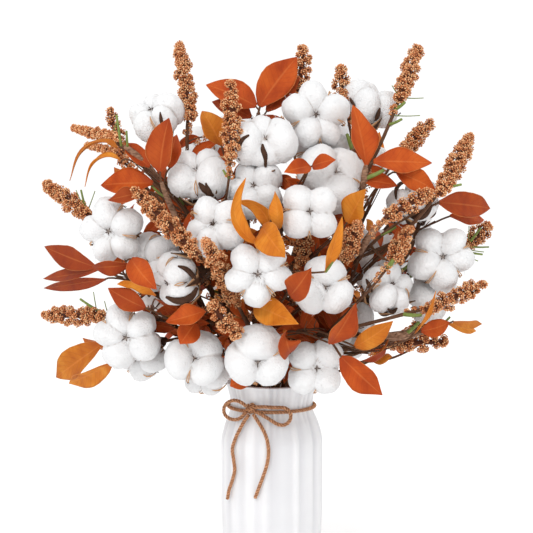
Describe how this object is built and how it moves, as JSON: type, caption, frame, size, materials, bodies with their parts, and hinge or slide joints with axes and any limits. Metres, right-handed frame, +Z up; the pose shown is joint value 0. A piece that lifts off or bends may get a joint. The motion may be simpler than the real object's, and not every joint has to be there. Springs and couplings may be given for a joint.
{
  "type": "cotton stem bunch",
  "caption": "Bunch of dried cotton stems with open white bolls, rust leaves and millet spikes, standing in a white pleated vase with a twine bow.",
  "frame": {"origin": "middle of the vase's foot, on the surface it stands on", "axes": "+Z up, the front with the twine bow faces -Y, +X to the right seen from the front"},
  "size_m": [0.4019, 0.3657, 0.4866],
  "materials": {
    "glaze": "satin",
    "twine": "rough fibre",
    "bark": "dry bark",
    "millet": "dry seed clusters",
    "leaf": "dyed dry leaf",
    "lint": "loose cotton fibre"
  },
  "bodies": {
    "root": {"vase": "glaze", "twine_band": "twine", "bow_loop_left": "twine", "bow_loop_right": "twine", "twine_tail_left": "twine", "twine_tail_right": "twine", "cotton_stem_upper_left": "bark", "cotton_stem_upper_right": "bark", "cotton_stem_left": "bark", "cotton_stem_front": "bark", "cotton_stem_right": "bark", "cotton_stem_low_left": "bark", "cotton_stem_low_front": "bark", "cotton_stem_back_left": "bark", "cotton_stem_back_right": "bark", "millet_spray_top_left": "millet", "millet_spray_left": "millet", "millet_spray_top": "millet", "millet_spray_right": "millet", "millet_spray_low_right": "millet", "millet_spray_front": "millet", "millet_spray_back": "millet", "leaf_spray_top": "leaf", "leaf_spray_upper_left": "leaf", "leaf_spray_left": "leaf", "leaf_spray_low_left": "leaf", "leaf_spray_upper_front": "leaf", "leaf_spray_upper_right": "leaf", "leaf_spray_right": "leaf", "leaf_spray_centre": "leaf", "leaf_spray_low_front": "leaf", "leaf_spray_low_right": "leaf", "leaf_spray_back": "leaf", "lint_top_left": "lint", "lint_upper_left": "lint", "lint_top_middle": "lint", "lint_top": "lint", "lint_top_right": "lint", "lint_upper_right": "lint", "lint_centre_high": "lint", "lint_centre_left": "lint", "lint_left": "lint", "lint_left_middle": "lint", "lint_centre": "lint", "lint_centre_right": "lint", "lint_right_high": "lint", "lint_right": "lint", "lint_right_middle": "lint", "lint_low_left": "lint", "lint_low_middle": "lint", "lint_rim_left": "lint", "lint_rim_right": "lint", "lint_inner_right": "lint", "lint_low_right": "lint", "lint_back_top_left": "lint", "lint_back_left": "lint", "lint_back_low_left": "lint", "lint_back_top_right": "lint", "lint_back_right": "lint", "lint_back_middle": "lint"}
  },
  "joints": []
}
